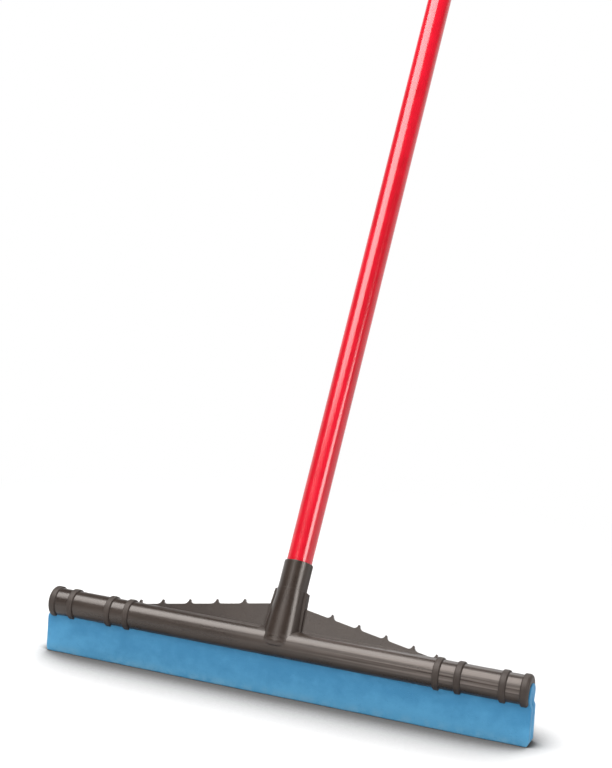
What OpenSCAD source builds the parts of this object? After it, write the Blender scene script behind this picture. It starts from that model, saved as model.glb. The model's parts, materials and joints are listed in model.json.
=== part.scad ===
// Floor squeegee: a moulded head with a folded foam blade, on a leaning pole.
// X runs along the bar, +Y is behind the blade, the floor is Z = 0.
// The origin is on the floor, midway along the blade and between its two lips.

/* [Bar] */
// Length of the bar over its end flanges
bar_len = 420; // [360:5:600]
// Outside diameter of the bar
bar_d = 23.5; // [22.5:0.5:27]
// Height of the bar's axis above the floor
axis_h = 42.2; // [37:0.2:55]
// Width of an end flange
flange_w = 6.5; // [4:0.5:9]
// Rise of an end flange over the bar
flange_rise = 1.4; // [0.8:0.1:3]
// Width of a ring
ring_w = 5; // [3.5:0.5:7]
// Rise of a ring over the bar
ring_rise = 1.4; // [0.8:0.1:3]
// Rounding of the flange and ring edges
bead_round = 0.7; // [0.2:0.1:0.8]
// Spacing of neighbouring rings, and of the flange and its ring
ring_pitch = 17.4; // [12:0.2:22]
// Spacing across the plain grip stretch between two rings
ring_span = 35.8; // [26:0.2:45]

/* [Web] */
// Thickness of the web
web_t = 3; // [2:0.2:5]
// Front face of the web, behind the socket's axis
web_set = 0; // [-1:0.2:2]
// Height of the web over the bar's axis, at the middle
web_mid_h = 34; // [26:0.2:40]
// Height of the web over the bar's axis, at the innermost rings
web_end_h = 10; // [5:0.5:14]
// Height of a tooth on the web's edge
tooth_h = 3.7; // [2:0.1:6]
// Width of a tooth across its curved foot
tooth_w = 9.4; // [7:0.2:14]
// Width of a tooth's blunt tip
tooth_tip_w = 0.9; // [0.5:0.1:2]
// Distance of the first tooth from the middle
tooth_start = 39; // [28:1:46]
// Spacing of the teeth
tooth_pitch = 24; // [15:0.5:24]
// Evenly spaced teeth on each side
tooth_count = 4; // [2:1:4]
// Distance of the outermost tooth from the innermost ring
tooth_last = 5.2; // [4:0.2:9]

/* [Socket] */
// Lean of the socket and pole behind the blade, degrees
lean = 30; // [15:1:40]
// Length of the socket from the bar's axis to its rim
socket_len = 68; // [60:1:90]
// Wall of the socket
socket_wall = 1.3; // [1:0.1:3]
// Rounding of the socket's rim
rim_round = 0.5; // [0.2:0.1:0.6]
// Thickening of the socket below the top of its wings
collar_rise = 0.3; // [0.2:0.1:1.5]
// Half-height of the taper that runs the socket's foot into the bar
foot_h = 4; // [2:0.5:6]
// How deep that taper ends under the bar's surface
foot_sink = 0.3; // [0.1:0.1:1]
// How far each side wing stands out from the socket
wing_reach = 2; // [1:0.2:5]
// Thickness of a wing
wing_t = 7.2; // [4:0.2:12]
// Front face of the wings, ahead of the socket's axis
wing_front = 2.2; // [0:0.2:5]
// Height of the wings over the bar's axis
wing_h = 44.5; // [36:0.5:54]
// Floor between the socket's bore and the foam channel
socket_floor = 3.4; // [2:0.2:6]

/* [Blade] */
// Thickness of the folded foam strip
foam_t = 6.2; // [5:0.1:6.6]
// Gap between the two lips where they leave the bar
lip_gap = 1.2; // [0.8:0.1:1.6]
// How far each lip leans outward at the floor
lip_splay = 1.5; // [0:0.1:3]
// How far the lips stand out past each end of the bar
blade_over = 2.5; // [0:0.5:6]
// How far the fold stands out past each end of the bar
fold_over = 1.2; // [0:0.2:4]
// Rounding of the blade's lower end corners
blade_corner_r = 4; // [1:0.5:10]
// Diameter of the keeper rod in the fold
rod_d = 5; // [3.5:0.1:5.2]
// How far the keeper rod stops short of each end of the fold
rod_inset = 20; // [10:1:60]
// How far the fold's centre lies below the bar's axis
fold_drop = 2.4; // [2:0.1:3.4]
// Drop of the bending line below the edges of the slot at the rings and flanges
bend_drop = 0.7; // [0.5:0.1:3]

/* [Pole] */
// Length of the steel tube
tube_len = 1200; // [700:10:1500]
// Outside diameter of the steel tube
tube_d = 20.6; // [19:0.2:25]
// Wall of the steel tube
tube_wall = 0.6; // [0.4:0.1:1.2]
// Thickness of the red skin on the tube
skin_t = 0.4; // [0.2:0.1:0.8]
// Thickness of the flanges on the plug and the cap
end_flange = 3; // [2:0.5:5]
// Length of the stems of the plug and the cap in the tube
stem_len = 28; // [15:1:45]
// Wall of those stems
stem_wall = 2.4; // [1.6:0.2:4]
// Rounding of the cap's shoulder
cap_round = 2; // [0.5:0.5:2.5]

/* [Hanging eye] */
// Width of the eye's tab
eye_w = 17; // [14:0.5:19]
// Thickness of the eye's tab
eye_t = 7; // [5:0.5:9]
// Diameter of the eye's hole
eye_hole_d = 9; // [6:0.5:10]
// Height of the hole over the cap's shoulder
eye_rise = 12; // [10:0.5:18]

/* [Fits] */
// Gap between the foam and the channel
foam_fit = 0.3; // [0.2:0.05:0.5]
// Gap round a lip's rolled top
lip_fit = 0.3; // [0.2:0.05:0.4]
// Radial gap between the pole and its socket
pole_fit = 0.05; // [0.02:0.01:0.1]
// Gap under the pole's plug at the floor of the socket
seat_fit = 0.1; // [0.05:0.05:0.5]
// Radial gap of the rod, the skin and the stems in what holds them
snug_fit = 0.03; // [0.02:0.01:0.1]

/* [Hidden] */
$fn = 64;
eps = 0.01;

// Bar
bar_r = bar_d / 2;
bead_r = bar_r + max(flange_rise, ring_rise);
outer_ring_x = bar_len / 2 - flange_w / 2 - ring_pitch;
middle_ring_x = outer_ring_x - ring_span;
inner_ring_x = middle_ring_x - ring_pitch;
ring_places = [outer_ring_x, middle_ring_x, inner_ring_x];

// Foam strip, its channel and slot
rod_r = rod_d / 2;
rod_hole_r = rod_r + snug_fit;
fold_r = rod_hole_r + foam_t;
fold_z = axis_h - fold_drop;
channel_r = fold_r + foam_fit;
lip_y = (lip_gap + foam_t) / 2;
leg_out = lip_gap / 2 + foam_t;
slot_half = leg_out + foam_fit;
slot_edge_z = axis_h - sqrt(bead_r * bead_r - slot_half * slot_half);
bend_z = slot_edge_z - bend_drop;
blade_len = bar_len + 2 * blade_over;
fold_len = bar_len + 2 * fold_over;
rod_len = fold_len - 2 * rod_inset;

// Pole and socket, measured along the leaning axis from the bar's axis
tube_r = tube_d / 2;
tube_in_r = tube_r - tube_wall;
skin_in_r = tube_r + snug_fit;
pole_r = skin_in_r + skin_t;
bore_r = pole_r + pole_fit;
socket_r = bore_r + socket_wall;
collar_r = socket_r + collar_rise;
foot_r = sqrt(bar_r * bar_r - foot_h * foot_h) - foot_sink;
bore_floor = channel_r - fold_drop * cos(lean) + socket_floor;
plug_start = bore_floor + seat_fit;
tube_start = plug_start + end_flange;
tube_end = tube_start + tube_len;
cap_shoulder = tube_end + end_flange;
shoulder_r = min(cap_round, 0.8 * end_flange);

// Web
web_half = inner_ring_x;
web_slope = (web_mid_h - web_end_h) / web_half;
web_angle = atan(web_slope);
tooth_places = concat([for (i = [0 : tooth_count - 1]) tooth_start + i * tooth_pitch],
    [inner_ring_x - tooth_last]);
function web_edge(x) = web_mid_h - web_slope * x;

// Moves a shape to the bar's axis and leans it as the socket leans
module on_lean(along = 0) {
    translate([0, 0, axis_h]) rotate([-lean, 0, 0]) translate([0, 0, along]) children();
}

// Extrudes an outline drawn across the bar, in Y and Z, along the bar
module along_bar(len) {
    rotate([90, 0, 90]) linear_extrude(len, center = true) children();
}

// Extrudes an outline drawn from the front, in X and Z, front to back
module front_to_back(depth) {
    rotate([90, 0, 0]) linear_extrude(depth, center = true) children();
}

// Half of a bead's section: a rise over the bar with rounded edges
module bead_section(width, rise) {
    translate([0, -width / 2]) square([bar_r + rise - bead_round, width]);
    translate([0, bead_round - width / 2]) square([bar_r + rise, width - 2 * bead_round]);
    for (side = [-1, 1])
        translate([bar_r + rise - bead_round, side * (width / 2 - bead_round)])
            circle(bead_round);
}

// The round bar with its rings and flanges, turned in one piece
module bar() {
    translate([0, 0, axis_h]) rotate([0, 90, 0]) rotate_extrude() {
        translate([0, -bar_len / 2]) square([bar_r, bar_len]);
        for (side = [-1, 1]) {
            translate([0, side * (bar_len - flange_w) / 2]) bead_section(flange_w, flange_rise);
            for (x = ring_places) translate([0, side * x]) bead_section(ring_w, ring_rise);
        }
    }
}

// One pointed tooth with hollow flanks, standing on Y = 0, its tip to one side of its middle
module tooth_outline(tip_shift) {
    difference() {
        translate([-tooth_w / 2, -tooth_h]) square([tooth_w, 2 * tooth_h]);
        for (side = [-1, 1]) {
            reach = (tooth_w - tooth_tip_w) / 2 - side * tip_shift;
            flank_r = (reach * reach + tooth_h * tooth_h) / (2 * tooth_h);
            translate([side * tooth_w / 2, flank_r]) circle(flank_r);
        }
    }
}

// The sloping web in the plane of the socket, with teeth that point along the socket
module web() {
    on_lean() translate([0, web_set + web_t / 2, 0]) front_to_back(web_t) {
        polygon([[-web_half, 0], [web_half, 0], [web_half, web_end_h], [0, web_mid_h],
            [-web_half, web_end_h]]);
        for (side = [-1, 1], x = tooth_places)
            translate([side * x, web_edge(x)]) rotate(-side * web_angle)
                tooth_outline(-side * tooth_h * web_slope);
    }
}

// The two side wings, drawn as one plate through the socket
module wings() {
    half = collar_r + wing_reach;
    on_lean() translate([-half, -wing_front, 0]) cube([2 * half, wing_t, wing_h]);
}

// The socket's outside, with a foot that tapers into the bar and a rounded rim
module socket_shell() {
    on_lean() rotate_extrude() {
        polygon([[0, -foot_h], [foot_r, -foot_h], [collar_r, foot_h], [0, foot_h]]);
        translate([0, foot_h]) square([collar_r, wing_h - foot_h]);
        square([socket_r, socket_len - rim_round]);
        square([socket_r - rim_round, socket_len]);
        translate([socket_r - rim_round, socket_len - rim_round]) circle(rim_round);
    }
}

// The round channel for the fold, open below through the slot
module channel() {
    along_bar(bar_len + 2 * flange_w) {
        translate([0, fold_z]) circle(channel_r);
        translate([-slot_half, 0]) square([2 * slot_half, fold_z]);
    }
}

module head_body() {
    color("#4a423d") difference() {
        union() {
            bar();
            web();
            wings();
            socket_shell();
        }
        channel();
        on_lean(bore_floor) cylinder(h = socket_len, r = bore_r);
    }
}

// The folded top of the foam strip, down to the cups that the lips roll in
module blade_fold() {
    color("#4b93c4") difference() {
        along_bar(fold_len) difference() {
            union() {
                translate([0, fold_z]) circle(fold_r);
                translate([-leg_out, bend_z]) square([2 * leg_out, fold_z - bend_z]);
            }
            translate([-lip_gap / 2, 0]) square([lip_gap, fold_z]);
            for (side = [-1, 1])
                translate([side * lip_y, bend_z]) circle(foam_t / 2 + lip_fit);
        }
        translate([0, 0, fold_z]) rotate([0, 90, 0])
            cylinder(h = rod_len + 2 * snug_fit, r = rod_hole_r, center = true);
    }
}

// The front lip of the foam strip, from its rolled top to the floor
module lip() {
    color("#4b93c4") intersection() {
        along_bar(blade_len) {
            translate([-lip_y, bend_z]) circle(foam_t / 2);
            polygon([[foam_t / 2 - lip_y, bend_z], [-foam_t / 2 - lip_y, bend_z],
                [-foam_t / 2 - lip_y - lip_splay, 0], [foam_t / 2 - lip_y - lip_splay, 0]]);
        }
        front_to_back(bar_d * 2) {
            translate([-blade_len / 2, blade_corner_r]) square([blade_len, axis_h]);
            translate([blade_corner_r - blade_len / 2, 0])
                square([blade_len - 2 * blade_corner_r, axis_h]);
            for (end = [-1, 1])
                translate([end * (blade_len / 2 - blade_corner_r), blade_corner_r])
                    circle(blade_corner_r);
        }
    }
}

module front_lip() { lip(); }

module rear_lip() { mirror([0, 1, 0]) lip(); }

module keeper_rod() {
    color("#d8dcdf") translate([0, 0, fold_z]) rotate([0, 90, 0])
        cylinder(h = rod_len, r = rod_r, center = true);
}

module pipe(len, outer, inner) {
    difference() {
        cylinder(h = len, r = outer);
        translate([0, 0, -eps]) cylinder(h = len + 2 * eps, r = inner);
    }
}

module pole_tube() {
    color("#a9adb0") on_lean(tube_start) pipe(tube_len, tube_r, tube_in_r);
}

module pole_sleeve() {
    color("#d8102c") on_lean(tube_start) pipe(tube_len, pole_r, skin_in_r);
}

// The hollow stem that the plug and the cap push into the tube
module stem() {
    pipe(stem_len, tube_in_r - snug_fit, tube_in_r - snug_fit - stem_wall);
}

module pole_plug() {
    color("#2b2b2b") on_lean(plug_start) {
        cylinder(h = end_flange, r = pole_r);
        translate([0, 0, end_flange]) stem();
    }
}

module pole_cap() {
    color("#2b2b2b") {
        on_lean(tube_end - stem_len) stem();
        on_lean(tube_end) rotate_extrude() {
            square([pole_r, end_flange - shoulder_r]);
            square([pole_r - shoulder_r, end_flange]);
            intersection() {
                translate([pole_r - shoulder_r, end_flange - shoulder_r]) circle(shoulder_r);
                square([pole_r, end_flange]);
            }
        }
        on_lean(cap_shoulder) front_to_back(eye_t) difference() {
            union() {
                translate([-eye_w / 2, -end_flange / 2]) square([eye_w, eye_rise + end_flange / 2]);
                translate([0, eye_rise]) circle(eye_w / 2);
            }
            translate([0, eye_rise]) circle(eye_hole_d / 2);
        }
    }
}

head_body();
blade_fold();
front_lip();
rear_lip();
keeper_rod();
pole_tube();
pole_sleeve();
pole_plug();
pole_cap();
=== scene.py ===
import json
import math

import bmesh
import bpy
from mathutils import Matrix, Vector, noise

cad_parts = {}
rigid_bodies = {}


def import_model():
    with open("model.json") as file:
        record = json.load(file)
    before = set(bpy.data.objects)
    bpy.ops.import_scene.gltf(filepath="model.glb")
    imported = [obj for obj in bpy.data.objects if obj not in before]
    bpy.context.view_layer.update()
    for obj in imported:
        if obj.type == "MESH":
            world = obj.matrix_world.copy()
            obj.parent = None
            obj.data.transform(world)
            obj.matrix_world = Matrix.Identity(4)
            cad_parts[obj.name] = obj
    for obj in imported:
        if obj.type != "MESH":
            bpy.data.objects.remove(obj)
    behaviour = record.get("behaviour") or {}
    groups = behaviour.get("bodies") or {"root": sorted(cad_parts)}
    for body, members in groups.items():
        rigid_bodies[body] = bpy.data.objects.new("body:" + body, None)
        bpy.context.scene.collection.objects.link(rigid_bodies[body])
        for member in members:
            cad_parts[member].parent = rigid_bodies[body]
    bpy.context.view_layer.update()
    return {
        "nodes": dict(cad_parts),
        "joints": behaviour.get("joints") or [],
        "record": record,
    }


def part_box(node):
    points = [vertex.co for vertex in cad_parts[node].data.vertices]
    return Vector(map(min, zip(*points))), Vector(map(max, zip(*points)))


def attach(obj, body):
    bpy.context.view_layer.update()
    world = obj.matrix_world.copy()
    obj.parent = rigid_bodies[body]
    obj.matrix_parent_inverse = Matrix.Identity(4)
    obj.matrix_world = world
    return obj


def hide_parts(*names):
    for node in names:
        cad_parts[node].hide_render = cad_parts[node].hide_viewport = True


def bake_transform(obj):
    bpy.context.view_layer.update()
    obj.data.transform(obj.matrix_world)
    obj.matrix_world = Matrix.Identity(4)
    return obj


for leftOver in list(bpy.data.objects):  # the cube, lamp and camera of a start-up file
    bpy.data.objects.remove(leftOver)
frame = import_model()

mm = 0.001
joints = {joint["name"]: joint for joint in frame["joints"]}
mounts = {mount["name"]: mount for mount in frame["record"]["mounts"]}

# Read off the frame: the rod in the fold, the fold's outside, the bar's ends and the lean of the pole
rodLow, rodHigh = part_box("keeper_rod")
foldHeight = (rodLow.z + rodHigh.z) / 2
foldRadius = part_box("blade_fold")[1].z - foldHeight
headLow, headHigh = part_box("head_body")
poleAxis = Vector(joints["pole_pull"]["axis"])
leanAngle = math.atan2(poleAxis.y, poleAxis.z)
uprightPole = (leanAngle, 0, 0)  # turns a pattern so that it runs along the pole
bendLine = Vector(joints["front_lip_bend"]["pos_m"])
foldDrop = 2.4 * mm  # from the bar's axis down to the middle of the fold
barHeight = foldHeight + foldDrop
toLean = Matrix.Translation((0, 0, barHeight)) @ Matrix.Rotation(-leanAngle, 4, "X")


# Camera

photoView = dict(
    height=768, focal=1563.0,  # pixels
    yaw=21.62, pitch=9.728, roll=3.28,  # degrees
    distance=1.2295, target=(0.0105, 0, 0.2575),
    sensor=36.0,  # mm
)


def aimCamera(view):
    yaw, pitch, roll = (math.radians(view[turn]) for turn in ("yaw", "pitch", "roll"))
    back = Vector((math.sin(yaw) * math.cos(pitch), -math.cos(yaw) * math.cos(pitch), math.sin(pitch)))
    level = Vector((math.cos(yaw), math.sin(yaw), 0))
    upright = back.cross(level)
    right = level * math.cos(roll) + upright * math.sin(roll)
    top = upright * math.cos(roll) - level * math.sin(roll)
    data = bpy.data.cameras.new("photoCamera")
    data.sensor_width = view["sensor"]
    data.lens = view["focal"] / view["height"] * view["sensor"]
    camera = bpy.data.objects.new("photoCamera", data)
    bpy.context.scene.collection.objects.link(camera)
    turned = Matrix((right, top, back)).transposed().to_4x4()
    camera.matrix_world = Matrix.Translation(Vector(view["target"]) + back * view["distance"]) @ turned
    bpy.context.scene.camera = camera


aimCamera(photoView)
print("camera set")


# Shader maths

class Wire:  # an output socket that can stand in a sum
    def __init__(self, tree, socket=None):
        self.tree = tree
        self.socket = socket

    def node(self, kind, settings=None, inputs=None, output=0):
        made = self.tree.nodes.new(kind)
        for name, value in (settings or {}).items():
            setattr(made, name, value)
        for name, value in (inputs or {}).items():
            if isinstance(value, Wire):
                self.tree.links.new(value.socket, made.inputs[name])
            else:
                made.inputs[name].default_value = value
        return Wire(self.tree, made.outputs[output])

    def maths(self, operation, *values):
        return self.node("ShaderNodeMath", {"operation": operation}, dict(enumerate(values)))

    def __add__(self, other):
        return self.maths("ADD", self, other)

    def __radd__(self, other):
        return self.maths("ADD", other, self)

    def __sub__(self, other):
        return self.maths("SUBTRACT", self, other)

    def __rsub__(self, other):
        return self.maths("SUBTRACT", other, self)

    def __mul__(self, other):
        return self.maths("MULTIPLY", self, other)

    def __rmul__(self, other):
        return self.maths("MULTIPLY", other, self)


def newMaterial(name, constants):
    material = bpy.data.materials.new(name)
    material.use_nodes = True
    shader = material.node_tree.nodes["Principled BSDF"]
    for socket, value in constants.items():
        shader.inputs[socket].default_value = value
    return material, shader, Wire(material.node_tree)


def feed(shader, **wires):  # BaseColor goes to the socket Base Color
    sockets = dict(BaseColor="Base Color", Roughness="Roughness", Normal="Normal")
    for name, wire in wires.items():
        wire.tree.links.new(wire.socket, shader.inputs[sockets[name]])


def objectPlace(wire, scale=(1, 1, 1), turn=(0, 0, 0)):  # turned first, then stretched
    place = wire.node("ShaderNodeTexCoord", output="Object")
    turned = wire.node("ShaderNodeMapping", inputs={"Vector": place, "Rotation": turn})
    return wire.node("ShaderNodeMapping", inputs={"Vector": turned, "Scale": scale})


def cloudy(place, scale=1.0, detail=3.0, rough=0.55):
    return place.node("ShaderNodeTexNoise",
                      inputs={"Vector": place, "Scale": scale, "Detail": detail, "Roughness": rough})


def spread(value, low, high, toLow=0.0, toHigh=1.0):  # eased from one range to another
    limits = {"From Min": low, "From Max": high, "To Min": toLow, "To Max": toHigh}
    return value.node("ShaderNodeMapRange", {"interpolation_type": "SMOOTHSTEP"},
                      {"Value": value, **limits})


def mixColour(share, first, second):
    return share.node("ShaderNodeMix", {"data_type": "RGBA"}, {0: share, 6: first, 7: second}, output=2)


def bumpy(height, strength, distance):
    return height.node("ShaderNodeBump",
                       inputs={"Strength": strength, "Distance": distance, "Height": height})


def axisOf(place, axis):  # one coordinate of a place: 0 is X, 2 is Z
    return place.node("ShaderNodeSeparateXYZ", inputs={"Vector": place}, output=axis)


# Materials

mouldedLook = dict(
    deep=(0.014, 0.0080, 0.0055, 1), pale=(0.031, 0.0210, 0.0160, 1), toneRange=(0.32, 0.68),
    roughness=0.21, specular=0.62, gleam=(1.0, 0.93, 0.88, 1), bump=0.14 * mm, bumpShow=0.28,
    cloudScale=34.0, grainScale=1400.0, grainRough=0.04,
    flowStretch=(9, 160, 160), flowRough=0.10,  # flow lines along the bar
    scuff=(0.10, 0.084, 0.074, 1), scuffStretch=(40, 420, 420), scuffRange=(0.62, 0.80), scuffShow=0.35,
    mattRough=0.30, mattEdge=0.4 * mm,  # the textured skin of the rings and flanges
    # worn is the colour of rubbed streaks and also a painted highlight on the front of the bar's right end
    worn=(0.135, 0.112, 0.100, 1), wearStretch=(5, 520, 520), wearRange=(0.36, 0.66),
    wearRough=0.22, wearAndHighlightShow=0.85, wearFrom=-60 * mm, wearTo=150 * mm,  # along the bar
    wearLow=-4 * mm, wearMiddle=1 * mm, wearTop=10 * mm, wearEnd=12 * mm,  # above the bar's axis
    dullFrom=10.8 * mm, dullTo=12.2 * mm, dullStop=17 * mm, dullEnd=18 * mm, dullRough=0.40,  # on the wings
)


def makeMoulded(look):
    material, shader, wire = newMaterial("darkMoulding", {"Specular IOR Level": look["specular"],
                                                          "Specular Tint": look["gleam"]})
    place = objectPlace(wire)
    along = axisOf(place, 0)
    fromMiddle = wire.maths("ABSOLUTE", along)
    height = axisOf(place, 2) - barHeight
    aboveBar = spread(height, look["wearTop"], look["wearEnd"])
    clouds = cloudy(place, look["cloudScale"], detail=4.0)
    grain = cloudy(place, look["grainScale"], detail=2.0)
    flow = cloudy(objectPlace(wire, look["flowStretch"]), detail=6.0, rough=0.6)
    streaks = 0.5 + (flow - 0.5) * (1 - aboveBar)
    tone = spread(streaks * 0.6 + clouds * 0.4, *look["toneRange"])
    body = mixColour(tone, look["deep"], look["pale"])
    scuffLines = cloudy(objectPlace(wire, look["scuffStretch"]), detail=4.0, rough=0.7)
    scuffs = spread(scuffLines, *look["scuffRange"])
    scuffed = mixColour(scuffs * look["scuffShow"], body, look["scuff"])
    flangeStart = barHalf - head["flangeWidth"]
    matt = spread(fromMiddle, flangeStart - look["mattEdge"], flangeStart)
    ringHalf = head["ringWidth"] / 2
    for ringPlace in head["ringPlaces"]:
        away = wire.maths("ABSOLUTE", fromMiddle - ringPlace)
        matt = matt + (1 - spread(away, ringHalf, ringHalf + look["mattEdge"]))
    wearLines = cloudy(objectPlace(wire, look["wearStretch"]), detail=4.0, rough=0.6)
    rubbed = spread(wearLines, *look["wearRange"])
    onRight = spread(along, look["wearFrom"], look["wearTo"])  # lighter most on the right: rubbed streaks and a painted highlight
    onFront = spread(height, look["wearLow"], look["wearMiddle"]) - aboveBar
    # painted highlight with rubbing: lighter streaks on the bar's front and top at its right end, where its
    # light band lies
    wearAndHighlight = rubbed * onRight * onFront * (1 - matt)
    onWings = spread(fromMiddle, look["dullFrom"], look["dullTo"])
    dull = onWings * aboveBar * (1 - spread(fromMiddle, look["dullStop"], look["dullEnd"]))
    feed(shader,
         BaseColor=mixColour(wearAndHighlight * look["wearAndHighlightShow"], scuffed, look["worn"]),
         Roughness=look["roughness"] + matt * look["mattRough"] + wearAndHighlight * look["wearRough"]
         + dull * look["dullRough"] + streaks * look["flowRough"] + grain * look["grainRough"],
         Normal=bumpy(grain * 0.5 + streaks * 1.5, look["bumpShow"], look["bump"]))
    return material


foamLook = dict(
    deep=(0.0485, 0.218, 0.403, 1), pale=(0.082, 0.305, 0.521, 1), toneRange=(0.30, 0.70),
    roughness=0.82, fineRough=0.12, specular=0.25, sheen=0.12, bump=0.35 * mm, bumpShow=0.45,
    driftStretch=(12, 30, 30), cloudScale=95.0, fineScale=1900.0,
    pit=(0.030, 0.155, 0.32, 1), pitShow=0.45, cellScale=760.0, cellRange=(0.10, 0.34),
    patchScale=260.0, patchRange=(0.46, 0.62),  # only in some patches are the cells cut open
    dusty=(0.17, 0.36, 0.50, 1), dustShow=0.45, dustHeight=9 * mm, dustRange=(0.38, 0.66),
    paintedShadeHeight=30 * mm, lightRamp=0.28,  # painted shade and light: the lips darker under the bar and lighter towards the floor
)


def makeFoam(look):
    material, shader, wire = newMaterial("blueFoam", {"Specular IOR Level": look["specular"],
                                                      "Sheen Weight": look["sheen"]})
    place = objectPlace(wire)
    height = axisOf(place, 2)
    drift = cloudy(objectPlace(wire, look["driftStretch"]))
    clouds = cloudy(place, look["cloudScale"], detail=4.0, rough=0.6)
    fine = cloudy(place, look["fineScale"], detail=2.0)
    # painted shade: the base colour is darker at the top under the bar and lighter towards the floor
    paintedShade = 0.5 - spread(height, 0.0, look["paintedShadeHeight"])
    tone = spread(drift * 0.55 + clouds * 0.45 + paintedShade * look["lightRamp"], *look["toneRange"])
    body = mixColour(tone, look["deep"], look["pale"])
    dust = (1 - spread(height, 0.0, look["dustHeight"])) * spread(clouds, *look["dustRange"])
    dusty = mixColour(dust * look["dustShow"], body, look["dusty"])
    cells = place.node("ShaderNodeTexVoronoi",
                       inputs={"Vector": place, "Scale": look["cellScale"], "Randomness": 1.0})
    patches = spread(cloudy(place, look["patchScale"], detail=2.0), *look["patchRange"])
    pits = (1 - spread(cells, *look["cellRange"])) * patches
    feed(shader,
         BaseColor=mixColour(pits * look["pitShow"], dusty, look["pit"]),
         Roughness=look["roughness"] + fine * look["fineRough"],
         Normal=bumpy(clouds * 0.6 + fine * 0.25 - pits * 0.9, look["bumpShow"], look["bump"]))
    return material


skinLook = dict(
    deep=(0.41, 0.0013, 0.009, 1), pale=(0.575, 0.003, 0.0175, 1), toneRange=(0.33, 0.67),
    roughness=0.16, cloudRough=0.07, specular=0.66, bump=0.16 * mm, bumpShow=0.20,
    drawnStretch=(120, 120, 5), cloudScale=60.0,  # the film is drawn out along the pole
    worn=(0.80, 0.16, 0.17, 1), scratchStretch=(900, 900, 22), scratchRange=(0.70, 0.80),
    scratchShow=0.22, scratchRough=0.15,
)


def makeSkin(look):
    material, shader, wire = newMaterial("redSkin", {"Specular IOR Level": look["specular"]})
    drawn = cloudy(objectPlace(wire, look["drawnStretch"], uprightPole), detail=5.0, rough=0.6)
    clouds = cloudy(objectPlace(wire), look["cloudScale"])
    tone = spread(drawn * 0.65 + clouds * 0.35, *look["toneRange"])
    body = mixColour(tone, look["deep"], look["pale"])
    fineLines = cloudy(objectPlace(wire, look["scratchStretch"], uprightPole))
    scratches = spread(fineLines, *look["scratchRange"])
    feed(shader,
         BaseColor=mixColour(scratches * look["scratchShow"], body, look["worn"]),
         Roughness=look["roughness"] + clouds * look["cloudRough"] + scratches * look["scratchRough"],
         Normal=bumpy(drawn * 0.8 + clouds * 0.6, look["bumpShow"], look["bump"]))
    return material


plainLook = dict(  # what the rod, the tube and the black plastic share
    toneRange=(0.32, 0.68), cloudScale=120.0, grainScale=1500.0,
    lineRough=0.15, grainRough=0.05, bump=0.10 * mm, bumpShow=0.22,
)
rodLook = dict(
    deep=(0.55, 0.56, 0.56, 1), pale=(0.74, 0.74, 0.73, 1),
    roughness=0.42, metallic=0.0, stretch=(14, 500, 500), turn=(0, 0, 0),
)
tubeLook = dict(
    deep=(0.30, 0.31, 0.32, 1), pale=(0.52, 0.53, 0.54, 1),
    roughness=0.30, metallic=1.0, stretch=(700, 700, 12), turn=uprightPole,
)
plasticLook = dict(
    deep=(0.016, 0.016, 0.017, 1), pale=(0.034, 0.033, 0.033, 1),
    roughness=0.36, metallic=0.0, stretch=(300, 300, 60), turn=uprightPole,
)


def makePlain(name, look):
    material, shader, wire = newMaterial(name, {"Metallic": look["metallic"]})
    lines = cloudy(objectPlace(wire, look["stretch"], look["turn"]), detail=4.0, rough=0.6)
    clouds = cloudy(objectPlace(wire), plainLook["cloudScale"])
    grain = cloudy(objectPlace(wire), plainLook["grainScale"], detail=2.0)
    tone = spread(lines * 0.6 + clouds * 0.4, *plainLook["toneRange"])
    feed(shader,
         BaseColor=mixColour(tone, look["deep"], look["pale"]),
         Roughness=look["roughness"] + lines * plainLook["lineRough"] + grain * plainLook["grainRough"],
         Normal=bumpy(lines * 0.7 + grain * 0.5, plainLook["bumpShow"], plainLook["bump"]))
    return material


blueFoam = makeFoam(foamLook)
redSkin = makeSkin(skinLook)
whiteRod = makePlain("whiteRod", rodLook)
tubeSteel = makePlain("tubeSteel", tubeLook)
blackPlastic = makePlain("blackPlastic", plasticLook)
print("materials made")


# Shapes that several pieces share

tubeSteps = 96  # sides of the socket, its bore and the cap
mergeGap = 0.001 * mm


def arc(centre, radius, start, stop, count=6):  # points on part of a circle, angles in degrees
    turns = [math.radians(start + (stop - start) * step / count) for step in range(count + 1)]
    return [(centre[0] + radius * math.cos(turn), centre[1] + radius * math.sin(turn)) for turn in turns]


def turnedShape(profile, steps=128):  # from points (along, radius), turned round the Z axis
    bm = bmesh.new()
    verts = [bm.verts.new((radius, 0, along)) for along, radius in profile]
    edges = [bm.edges.new(pair) for pair in zip(verts, verts[1:])]
    bmesh.ops.spin(bm, geom=verts + edges, cent=(0, 0, 0), axis=(0, 0, 1), angle=2 * math.pi,
                   steps=steps, use_merge=True)
    bmesh.ops.remove_doubles(bm, verts=bm.verts, dist=mergeGap)
    return bm


def onlyVerts(items):
    return [item for item in items if isinstance(item, bmesh.types.BMVert)]


def pushFaces(bm, faces, direction):
    pushed = bmesh.ops.extrude_face_region(bm, geom=faces)["geom"]
    bmesh.ops.translate(bm, vec=direction, verts=onlyVerts(pushed))


def pushedShape(outline, direction):  # a flat outline of 3-D points, pushed out along direction
    bm = bmesh.new()
    face = bm.faces.new([bm.verts.new(point) for point in outline])
    pushFaces(bm, [face], direction)
    return bm


def soften(bm, width, segments=2, steepest=50):  # rounds every edge sharper than steepest degrees
    bm.normal_update()
    sharp = [edge for edge in bm.edges if edge.calc_face_angle(0) > math.radians(steepest)]
    bmesh.ops.bevel(bm, geom=sharp, offset=width, offset_type="OFFSET", segments=segments, profile=0.5,
                    affect="EDGES", clamp_overlap=True, material=-1)


def addShell(name, bm):
    bmesh.ops.recalc_face_normals(bm, faces=bm.faces)
    mesh = bpy.data.meshes.new(name)
    bm.to_mesh(mesh)
    bm.free()
    shell = bpy.data.objects.new(name, mesh)
    bpy.context.scene.collection.objects.link(shell)
    return shell


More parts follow.
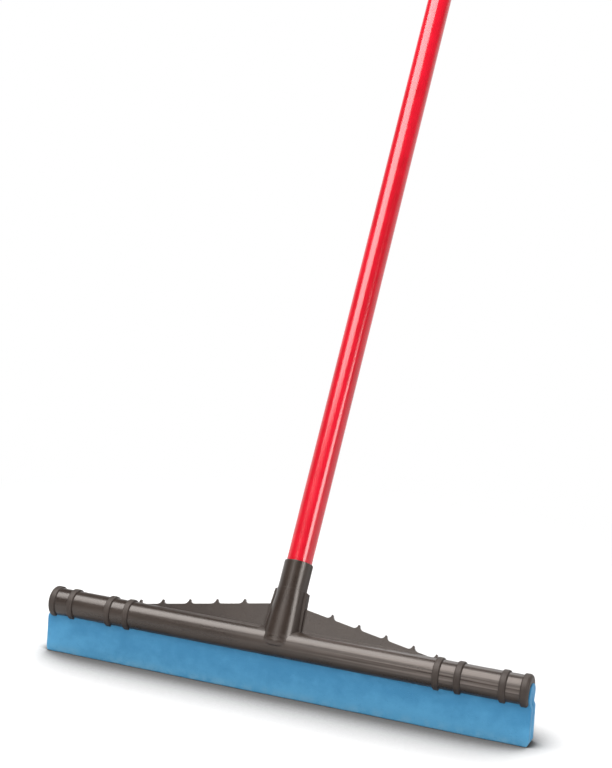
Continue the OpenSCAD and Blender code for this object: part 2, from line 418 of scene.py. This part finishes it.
def combine(piece, other, operation):
    step = piece.modifiers.new(operation.lower(), "BOOLEAN")
    step.operation = operation
    step.solver = "EXACT"
    step.object = other
    bpy.context.view_layer.update()
    seen = piece.evaluated_get(bpy.context.evaluated_depsgraph_get())
    result = bpy.data.meshes.new_from_object(seen)
    piece.modifiers.clear()
    piece.data = result
    bpy.data.objects.remove(other)


def finishPiece(piece, material, sharpest=38):  # smooth, with edges sharper than this left crisp
    piece.data.materials.clear()
    piece.data.materials.append(material)
    piece.data.shade_smooth()
    piece.data.set_sharp_from_angle(angle=math.radians(sharpest))
    even = piece.modifiers.new("evenShading", "WEIGHTED_NORMAL")
    even.keep_sharp = True


# Head: the round bar with its rings, the toothed web, the socket and its wings, in one moulding

head = dict(
    barRadius=11.75 * mm,
    farRows=(110 * mm, 80 * mm, 50 * mm, 32 * mm, 24 * mm, 20 * mm),  # rows of faces along the bar
    nearStep=2 * mm, nearRows=9,  # close rows in the middle keep the foot's shading local
    flangeWidth=6.5 * mm, ringWidth=5.4 * mm, beadRound=1.1 * mm, beadFoot=0.4 * mm, endRound=2.6 * mm,
    ringPlaces=(189.35 * mm, 153.55 * mm, 136.15 * mm),  # from the middle, on both sides
    channelRadius=9.03 * mm, slotHalf=7.1 * mm,
    # from here on, heights are taken along the socket, from the bar's axis
    webThick=3 * mm, webMiddle=34 * mm, webEnd=10 * mm, webRoot=9 * mm, webEdge=0.4 * mm,
    toothHeight=3.7 * mm, toothWidth=9.4 * mm, toothTip=1.3 * mm,
    toothPlaces=(130.95 * mm, 111 * mm, 87 * mm, 63 * mm, 39 * mm),
    footRadius=9 * mm, footLow=-4 * mm, footTop=7 * mm,
    collarRadius=12.38 * mm, collarTop=44.5 * mm, collarRound=0.25 * mm,
    socketRadius=12.08 * mm, socketTop=68 * mm, rimRound=0.5 * mm, rimInside=0.4 * mm,
    boreRadius=10.78 * mm, boreFloor=10.35 * mm,
    wingHalf=14.38 * mm, wingFootHalf=16.6 * mm, wingFront=-2.2 * mm, wingBack=5 * mm,
    wingFoot=8.5 * mm, wingRound=0.7 * mm,
    postHalf=16 * mm, postFront=14.2 * mm, postBack=4.5 * mm,
    postRound=4.5 * mm, postEase=0.24,  # its lower end: how long, and how much narrower
    postTop=40 * mm, postTopHalf=12.2 * mm, postTopFront=12.1 * mm,
    skirtFront=7 * mm, skirtSide=3 * mm, skirtSunk=0.2 * mm, skirtRoot=2 * mm, skirtBlunt=0.96,
    skirtRows=9, skirtSteps=144,
)
beadRadius = -headLow.y
barHalf = headHigh.x
darkMoulding = makeMoulded(mouldedLook)


def ringProfile(place):
    half, corner, base = head["ringWidth"] / 2, head["beadRound"], head["barRadius"]
    return ([(place - half, base)]
            + arc((place - half + corner, beadRadius - corner), corner, 180, 90, count=5)
            + arc((place + half - corner, beadRadius - corner), corner, 90, 0, count=5)
            + [(place + half, base)])


def barShape():
    corner, foot, end = head["beadRound"], head["beadFoot"], head["endRound"]
    flange = -barHalf + head["flangeWidth"]
    half = [(-barHalf, 0)]
    half += arc((-barHalf + end, beadRadius - end), end, 180, 90)
    half += arc((flange - corner, beadRadius - corner), corner, 90, 0, count=4)
    half += arc((flange + foot, head["barRadius"] + foot), foot, 180, 270, count=3)
    for place in head["ringPlaces"]:
        half += ringProfile(-place)
    nearRows = [head["nearStep"] * row for row in range(head["nearRows"], 0, -1)]
    half += [(-place, head["barRadius"]) for place in (*head["farRows"], *nearRows)]
    bm = turnedShape(half + [(-along, radius) for along, radius in reversed(half)])
    bm.transform(Matrix.Translation((0, 0, barHeight)) @ Matrix.Rotation(math.pi / 2, 4, "Y"))
    return bm


def channelShape():  # a keyhole: the round channel and the slot below it
    radius, half = head["channelRadius"], head["slotHalf"]
    corner = math.degrees(math.asin(math.sqrt(1 - (half / radius) ** 2)))
    outline = [(half, 0)] + arc((0, foldHeight), radius, -corner, 180 + corner, count=96) + [(-half, 0)]
    length = barHalf + head["flangeWidth"]
    return pushedShape([(-length, across, up) for across, up in outline], (2 * length, 0, 0))


def toothOutline(place, slope):  # hollow flanks up to a blunt tip that points along the socket
    tilt = math.atan(slope)
    along = Vector((math.cos(tilt), -math.sin(tilt)))
    out = Vector((math.sin(tilt), math.cos(tilt)))
    root = Vector((place, head["webMiddle"] - slope * place))
    height, half = head["toothHeight"], head["toothWidth"] / 2
    flanks = []
    for hand in (1, -1):
        tip = -height * slope + hand * head["toothTip"] / 2
        reach = half - hand * tip
        radius = (reach ** 2 + height ** 2) / (2 * height)
        stop = math.degrees(math.atan2(height - radius, tip - hand * half))
        flanks.append(arc((hand * half, radius), radius, -90, stop, count=7))
    return [root + along * x + out * y for x, y in flanks[0] + flanks[1][::-1]]


def webShape():
    reach = head["ringPlaces"][-1]
    slope = (head["webMiddle"] - head["webEnd"]) / reach
    right = [Vector((reach, head["webRoot"])), Vector((reach, head["webEnd"]))]
    for place in head["toothPlaces"]:
        right += toothOutline(place, slope)
    left = [Vector((-point.x, point.y)) for point in reversed(right)]
    outline = right + [Vector((0, head["webMiddle"]))] + left
    bm = pushedShape([(point.x, 0, point.y) for point in outline], (0, head["webThick"], 0))
    soften(bm, head["webEdge"])
    bm.transform(toLean)
    return bm


def wingShape():
    bm = bmesh.new()
    bmesh.ops.create_cube(bm, size=1)
    tall = head["collarTop"] - head["wingFoot"] - head["collarRound"]
    deep = head["wingBack"] - head["wingFront"]
    bmesh.ops.scale(bm, vec=(2 * head["wingHalf"], deep, tall), verts=bm.verts)
    middle = Vector((0, head["wingFront"] + deep / 2, head["wingFoot"] + tall / 2))
    bmesh.ops.translate(bm, vec=middle, verts=bm.verts)
    for vert in bm.verts:  # a little wider at the foot
        if vert.co.z < head["collarTop"] / 2:
            vert.co.x *= head["wingFootHalf"] / head["wingHalf"]
    soften(bm, head["wingRound"], segments=3)
    bm.transform(toLean)
    return bm


def socketShape():
    collar, tube, rim = head["collarRadius"], head["socketRadius"], head["rimRound"]
    profile = [(head["footLow"], 0), (head["footLow"], head["footRadius"]), (head["footTop"], collar)]
    profile += arc((head["collarTop"] - head["collarRound"], collar - head["collarRound"]),
                   head["collarRound"], 90, 0, count=3)
    profile += [(head["collarTop"], tube)]
    profile += arc((head["socketTop"] - rim, tube - rim), rim, 90, 0, count=4)
    profile += [(head["socketTop"], 0)]
    bm = turnedShape(profile, tubeSteps)
    bm.transform(toLean)
    return bm


def postShape():  # the socket's oval foot, which runs down in front of the bar and fades out above
    low, ease = -head["postRound"], head["postEase"]
    profile = [(low, 0)]
    profile += [(low * x, 1 - ease * (1 - y)) for x, y in arc((0, 0), 1, 0, 90)]
    profile += [(head["postTop"], 1), (head["postTop"], 0)]
    bm = turnedShape(profile, tubeSteps)
    for vert in bm.verts:  # from a round of radius 1 to the oval at its height
        share = max(0, vert.co.z / head["postTop"])
        vert.co.x *= head["postHalf"] + (head["postTopHalf"] - head["postHalf"]) * share
        front = head["postFront"] + (head["postTopFront"] - head["postFront"]) * share
        vert.co.y *= front if vert.co.y < 0 else head["postBack"]
    bm.transform(toLean)
    return bm


def boreShape():  # what the pole's end goes into, with an eased mouth
    radius, ease, top = head["boreRadius"], head["rimInside"], head["socketTop"]
    profile = [(head["boreFloor"], 0), (head["boreFloor"], radius)]
    profile += arc((top - ease, radius + ease), ease, 270, 360, count=4)
    profile += [(top + ease, radius + ease), (top + ease, 0)]
    bm = turnedShape(profile, tubeSteps)
    bm.transform(toLean)
    return bm


def onBar(across, angle, radius):  # a point of the leaning frame, round the bar from its top
    return Vector((across, radius * math.sin(angle), radius * math.cos(angle)))


# out points away from the socket. The first rows are the sweep, and the last two lie hidden in the head
def skirtPoint(out, row):
    radius, collar, sunk = head["barRadius"], head["collarRadius"], head["skirtSunk"]
    wide = head["skirtSide"] + (head["skirtFront"] - head["skirtSide"]) * out.y ** 2
    angle = math.asin(head["skirtBlunt"] * out.y)
    corner = onBar(collar * out.x, angle, radius)
    upper = out * (collar - sunk) + Vector((0, 0, corner.z + wide))
    lower = onBar((collar + wide) * out.x, angle + wide * out.y / radius, radius - sunk)
    share = row / (head["skirtRows"] - 1)
    if share <= 1:
        return upper * (1 - share) ** 2 + corner * 2 * share * (1 - share) + lower * share ** 2
    if row == head["skirtRows"]:
        return onBar(collar * out.x, angle, radius - head["skirtRoot"])
    return out * (collar - head["skirtRoot"]) + Vector((0, 0, corner.z))


def skirtShape():  # the hollow sweep from the socket's foot out over the bar
    rows = head["skirtRows"] + 2
    bm = turnedShape([(0, 1 + row % rows) for row in range(rows + 1)], head["skirtSteps"])
    for vert in bm.verts:
        vert.co = skirtPoint(vert.co.normalized(), round(vert.co.length) - 1)
    bm.transform(toLean)
    return bm


def makeHead():
    piece = addShell("head_moulding", barShape())
    added = dict(web=webShape, wings=wingShape, socket=socketShape, post=postShape, skirt=skirtShape)
    for name, shape in added.items():
        combine(piece, addShell(name, shape()), "UNION")
    hollows = dict(channel=channelShape, bore=boreShape)
    for name, shape in hollows.items():
        combine(piece, addShell(name, shape()), "DIFFERENCE")
    finishPiece(piece, darkMoulding)
    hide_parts("head_body")
    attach(piece, "head")
    return piece


headPiece = makeHead()
print("head:", len(headPiece.data.polygons), "faces")


# Foam blade: two halves that meet over the rod, each bending into its own lip

foam = dict(
    thick=6.2 * mm, gap=1.2 * mm, splay=1.5 * mm, holeRadius=2.53 * mm, seam=0.4 * mm,
    bladeHalf=212.5 * mm, foldHalf=211.2 * mm, cornerRadius=2.8 * mm, edgeRound=0.9 * mm, endRound=0.5 * mm,
    foldTaper=3 * mm,  # how soon the lips' length becomes the fold's
    foldRows=26, legRows=22, footRows=4, stations=150,
    pinch=8 * mm,  # how soon the fold closes past the rod's ends
    slack=0.02 * mm,  # what lies this near the rod's hole is its wall
    lump=0.14 * mm, lumpScale=55, wander=0.5 * mm, wanderScale=9,
    calm=8 * mm, plainSide=0.6 * mm,  # no lumps this near the ends, nor this near the middle plane
    bendAbove=1.5 * mm, bendBelow=5 * mm,
    sharpest=50,  # degrees
)


def eased(value, low, high):
    share = min(1, max(0, (value - low) / (high - low)))
    return share ** 2 * (3 - 2 * share)


def foamPaths():  # from over the rod down to the floor: the strip's outside and inside, as (outward, up)
    outer, seam, edge = foam["gap"] / 2 + foam["thick"], foam["seam"], foam["edgeRound"]
    turn = math.degrees(math.acos(outer / foldRadius))
    hole = math.degrees(math.acos(seam / foam["holeRadius"]))
    outside = arc((0, foldHeight), foldRadius, 90, -turn, foam["foldRows"])
    inside = arc((0, foldHeight), foam["holeRadius"], 90, -hole, foam["foldRows"])
    outTop, inTop = outside[-1][1], inside[-1][1]
    for row in range(1, foam["legRows"] + 1):
        share = row / foam["legRows"]
        up = outTop + (edge - outTop) * share
        outside.append((outer + foam["splay"] * max(0, 1 - up / bendLine.z), up))
        inside.append((seam, inTop + (edge - inTop) * share))
    outside += arc((outside[-1][0] - edge, edge), edge, 0, -90, foam["footRows"])[1:]
    inside += arc((seam + edge, edge), edge, 180, 270, foam["footRows"])[1:]
    return outside, inside


def foamReach(up):  # half the strip's length at this height: round lower corners, a shorter fold
    corner = foam["cornerRadius"]
    low = max(0, corner - up)
    cut = corner - math.sqrt(max(0, corner ** 2 - low ** 2))
    shorter = foam["bladeHalf"] - foam["foldHalf"]
    return foam["bladeHalf"] - cut - shorter * eased(up, bendLine.z, bendLine.z + foam["foldTaper"])


def foamBlank(side):  # one half's section, pushed out from x = -1 to x = 1 and cut into stations
    bm = bmesh.new()
    chains = []
    for path in foamPaths():
        verts = [bm.verts.new((-1, side * out, up)) for out, up in path]
        chains.append([bm.edges.new(pair) for pair in zip(verts, verts[1:])])
    bmesh.ops.bridge_loops(bm, edges=chains[0] + chains[1])
    pushFaces(bm, bm.faces[:], (2, 0, 0))
    long = [edge for edge in bm.edges if abs(edge.verts[0].co.x - edge.verts[1].co.x) > 1]
    bmesh.ops.subdivide_edges(bm, edges=long, cuts=foam["stations"], use_grid_fill=True)
    bmesh.ops.recalc_face_normals(bm, faces=bm.faces)
    return bm


def fitLength(bm, ends):  # the blank takes its true length, and the fold closes up past the rod
    centre = Vector((0, foldHeight))
    spacing = 2 / (foam["stations"] + 1)
    for vert in bm.verts:
        reach = foamReach(vert.co.z)
        share = abs(vert.co.x)
        nextToEnd = share > 1 - 1.5 * spacing and vert not in ends  # where the rounding of the end starts
        inside = reach - foam["endRound"] if nextToEnd else reach * share
        vert.co.x = math.copysign(inside, vert.co.x)
        spoke = vert.co.yz - centre
        if spoke.length < foam["holeRadius"] + foam["slack"]:
            closed = eased(abs(vert.co.x), rodHigh.x, rodHigh.x + foam["pinch"])
            spoke *= 1 - closed * (1 - foam["seam"] / foam["holeRadius"])
            vert.co.yz = centre + spoke


def addLumps(bm):  # slight lumps all over, and lips that wander a little
    calmFrom, calmTo = foam["foldHalf"] - foam["calm"], foam["foldHalf"] - foam["endRound"]
    for vert in bm.verts:
        if abs(vert.co.y) > foam["plainSide"]:
            lively = 1 - eased(abs(vert.co.x), calmFrom, calmTo)
            lump = noise.noise(vert.co * foam["lumpScale"]) * foam["lump"] * lively
            bow = noise.noise(Vector((vert.co.x * foam["wanderScale"], 0, 0))) * foam["wander"]
            vert.co += vert.normal * lump + Vector((0, bow * max(0, 1 - vert.co.z / bendLine.z), 0))
            vert.co.z = max(vert.co.z, 0)


def easeEnds(ends):  # the cut ends draw in a little round their edges
    for vert in ends:
        outward = Vector((0, vert.normal.y if abs(vert.co.y) > foam["seam"] / 2 else 0, vert.normal.z))
        vert.co -= outward.normalized() * foam["endRound"]


def foamHalf(name, side, nodes):
    bm = foamBlank(side)
    ends = {vert for vert in bm.verts if math.isclose(abs(vert.co.x), 1)}
    fitLength(bm, ends)
    bm.normal_update()
    addLumps(bm)
    easeEnds(ends)
    piece = addShell(name, bm)
    finishPiece(piece, blueFoam, foam["sharpest"])
    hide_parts(*nodes)
    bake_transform(piece)


foamHalf("foam_front", -1, ("blade_fold", "front_lip"))
foamHalf("foam_rear", 1, ("rear_lip",))
print("foam made")


# Pole: the red skin over the steel tube, and the cap with the hanging eye

pole = dict(
    skinThick=0.4 * mm, sides=72, rings=260,
    ripple=0.05 * mm, rippleRound=1.5, rippleAlong=30, dent=0.06 * mm, dentAlong=7, dentStart=40,
)
skinLow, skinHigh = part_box("pole_sleeve")
poleRadius = skinHigh.x
skinStart = (skinLow.z - barHeight + poleRadius * math.sin(leanAngle)) / math.cos(leanAngle)
skinEnd = (skinHigh.z - barHeight - poleRadius * math.sin(leanAngle)) / math.cos(leanAngle)


def makeSkinTube():
    bm = bmesh.new()
    ring = bmesh.ops.create_circle(bm, segments=pole["sides"], radius=poleRadius, cap_ends=False)["verts"]
    bmesh.ops.translate(bm, vec=(0, 0, skinStart), verts=ring)
    pushed = bmesh.ops.extrude_edge_only(bm, edges=bm.edges[:])["geom"]
    bmesh.ops.translate(bm, vec=(0, 0, skinEnd - skinStart), verts=onlyVerts(pushed))
    long = [edge for edge in bm.edges if abs(edge.verts[0].co.z - edge.verts[1].co.z) > mm]
    bmesh.ops.subdivide_edges(bm, edges=long, cuts=pole["rings"], use_grid_fill=True)
    for vert in bm.verts:
        out = Vector((vert.co.x, vert.co.y, 0)).normalized()
        ripplePlace = out * pole["rippleRound"] + Vector((0, 0, vert.co.z * pole["rippleAlong"]))
        dentPlace = out + Vector((0, 0, vert.co.z * pole["dentAlong"] + pole["dentStart"]))
        ripple = noise.noise(ripplePlace) * pole["ripple"]
        dent = noise.noise(dentPlace) * pole["dent"]
        vert.co += out * (ripple + dent - pole["dent"])
    bmesh.ops.recalc_face_normals(bm, faces=bm.faces)
    bmesh.ops.solidify(bm, geom=bm.faces[:], thickness=pole["skinThick"] - pole["dent"])
    bm.transform(toLean)
    piece = addShell("pole_skin", bm)
    finishPiece(piece, redSkin)
    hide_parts("pole_sleeve")
    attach(piece, "pole")


makeSkinTube()
print("pole skin made")

cap = dict(
    flange=3 * mm, shoulder=2 * mm, stemLength=28 * mm, stemRadius=9.67 * mm, stemInside=7.27 * mm,
    tabHalf=8.5 * mm, tabThick=7 * mm, tabFoot=1.5 * mm, tabRound=1.2 * mm, tabSides=64,
)
eyeMount = mounts["hang_eye"]
barMiddle = Vector((0, 0, barHeight))
eyeRise = (Vector(eyeMount["pos_m"]) - barMiddle).dot(poleAxis)  # along the pole, from the bar's axis
eyeRadius = eyeMount["dims"]["r_mm"] * mm


def capBody():  # the stem in the tube and the round shoulder over its end
    top, low = skinEnd + cap["flange"], skinEnd - cap["stemLength"]
    inside, stem, ease = cap["stemInside"], cap["stemRadius"], cap["shoulder"]
    profile = [(skinEnd, 0), (skinEnd, inside), (low, inside)]
    profile += [(low, stem), (skinEnd, stem), (skinEnd, poleRadius)]
    profile += arc((top - ease, poleRadius - ease), ease, 90, 0) + [(top, 0)]
    bm = turnedShape(profile, tubeSteps)
    bm.transform(toLean)
    return bm


def eyeTab():  # a flat tab with a round head and the hanging hole
    bm = bmesh.new()
    loops = []
    foot = eyeRise - skinEnd - cap["flange"] + cap["tabFoot"]
    for outside in (True, False):
        verts = []
        for step in range(cap["tabSides"]):
            turn = 2 * math.pi * (step + 0.5) / cap["tabSides"]
            across, up = math.cos(turn), math.sin(turn)
            reach = eyeRadius
            if outside:  # round above the hole, straight sides and a straight foot below it
                reach = cap["tabHalf"] if up > 0 else min(cap["tabHalf"] / abs(across), foot / abs(up))
            verts.append(bm.verts.new((reach * across, -cap["tabThick"] / 2, eyeRise + reach * up)))
        loops.append([bm.edges.new((verts[i - 1], verts[i])) for i in range(len(verts))])
    bmesh.ops.bridge_loops(bm, edges=loops[0] + loops[1])
    pushFaces(bm, bm.faces[:], (0, cap["tabThick"], 0))
    soften(bm, cap["tabRound"], segments=3, steepest=70)
    bm.transform(toLean)
    return bm


def makeCap():
    piece = addShell("pole_end_cap", capBody())
    combine(piece, addShell("eyeTab", eyeTab()), "UNION")
    finishPiece(piece, blackPlastic)
    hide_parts("pole_cap")
    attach(piece, "pole")


makeCap()
print("cap made")

for node, material in (("keeper_rod", whiteRod), ("pole_tube", tubeSteel), ("pole_plug", blackPlastic)):
    shown = frame["nodes"][node]
    shown.data.materials.clear()
    shown.data.materials.append(material)
print("frame nodes painted")


# Floor, world and lamps

stage = dict(
    floorSize=30.0, floorColour=(0.72, 0.72, 0.72, 1), floorRough=0.9,
    glowFrom=0.30, glowTo=0.75,  # the floor shines by itself from here on, to end in white
    # painted shadow: near the object the floor's colour darkens by ambient occlusion
    paintedShadowColour=(0.128, 0.122, 0.116, 1), paintedShadowReach=0.37, paintedShadowDark=0.495, paintedShadowSamples=16,
    skyLow=0.10, skyHigh=0.40, zenith=0.14,  # white at the horizon, dim overhead
)
lamps = (
    dict(name="overhead", place=(-0.60, -0.47, 1.8), along=(0, 1, 0), toward=(-0.60, -0.47, 0),
         size=(1.6, 1.66), radiance=7.5),
    dict(name="frontLeft", place=(-0.48, -1.55, 1.06), along=(0, 0, 1), toward=(0.1, 0, 0.05),
         size=(0.62, 0.58), radiance=3.9),
    dict(name="rightStrip", place=(1.27, -0.42, 0.81), along=(0, 0, 1), toward=(0, 0.05, 0.15),
         size=(0.60, 0.52), radiance=9.0),
    dict(name="behind", place=(0.1, 1.8, 1.35), along=(0, 0, 1), toward=(0, 0, 0.05),
         size=(2.2, 1.0), radiance=2.5),
)


def makeFloor():
    bm = bmesh.new()
    bmesh.ops.create_grid(bm, x_segments=2, y_segments=2, size=stage["floorSize"])
    floor = addShell("floor", bm)
    material, shader, wire = newMaterial("paleFloor", {"Roughness": stage["floorRough"],
                                                       "Specular IOR Level": 0.0})
    # painted shadow under and around the object: ambient occlusion darkens the floor's base colour
    openness = wire.node("ShaderNodeAmbientOcclusion", {"samples": stage["paintedShadowSamples"]},
                         {"Distance": stage["paintedShadowReach"]}, output="AO")
    clear = spread(openness, stage["paintedShadowDark"], 1.0)
    feed(shader, BaseColor=mixColour(clear, stage["paintedShadowColour"], stage["floorColour"]))
    place = objectPlace(wire)
    away = wire.node("ShaderNodeVectorMath", {"operation": "LENGTH"}, {0: place}, output=1)
    glow = wire.node("ShaderNodeEmission", inputs={"Color": (1, 1, 1, 1), "Strength": 1.0})
    surface = Wire(material.node_tree, shader.outputs[0])
    mixed = wire.node("ShaderNodeMixShader",
                      inputs={0: spread(away, stage["glowFrom"], stage["glowTo"]), 1: surface, 2: glow})
    output = material.node_tree.nodes["Material Output"]
    material.node_tree.links.new(mixed.socket, output.inputs["Surface"])
    floor.data.materials.append(material)


def makeWorld():
    world = bpy.data.worlds.new("studio")
    bpy.context.scene.world = world
    world.use_nodes = True
    wire = Wire(world.node_tree)
    ray = wire.node("ShaderNodeTexCoord", output="Generated")
    height = axisOf(ray, 2)
    background = world.node_tree.nodes["Background"]
    background.inputs["Color"].default_value = (1, 1, 1, 1)
    lightRamp = spread(height, stage["skyLow"], stage["skyHigh"], 1.0, stage["zenith"])
    world.node_tree.links.new(lightRamp.socket, background.inputs["Strength"])


def addLamp(name, place, along, toward, size, radiance):
    data = bpy.data.lights.new(name, "AREA")
    data.shape = "RECTANGLE"
    data.size, data.size_y = size
    data.energy = radiance * math.pi * size[0] * size[1]
    lamp = bpy.data.objects.new(name, data)
    bpy.context.scene.collection.objects.link(lamp)
    back = (Vector(place) - Vector(toward)).normalized()
    side = Vector(along).cross(back).normalized()
    turned = Matrix((side, back.cross(side), back)).transposed().to_4x4()
    lamp.matrix_world = Matrix.Translation(place) @ turned
    lamp.visible_camera = False


makeFloor()
makeWorld()
for lamp in lamps:
    addLamp(**lamp)
bpy.context.scene.view_settings.view_transform = "Standard"
print("stage and lamps set")
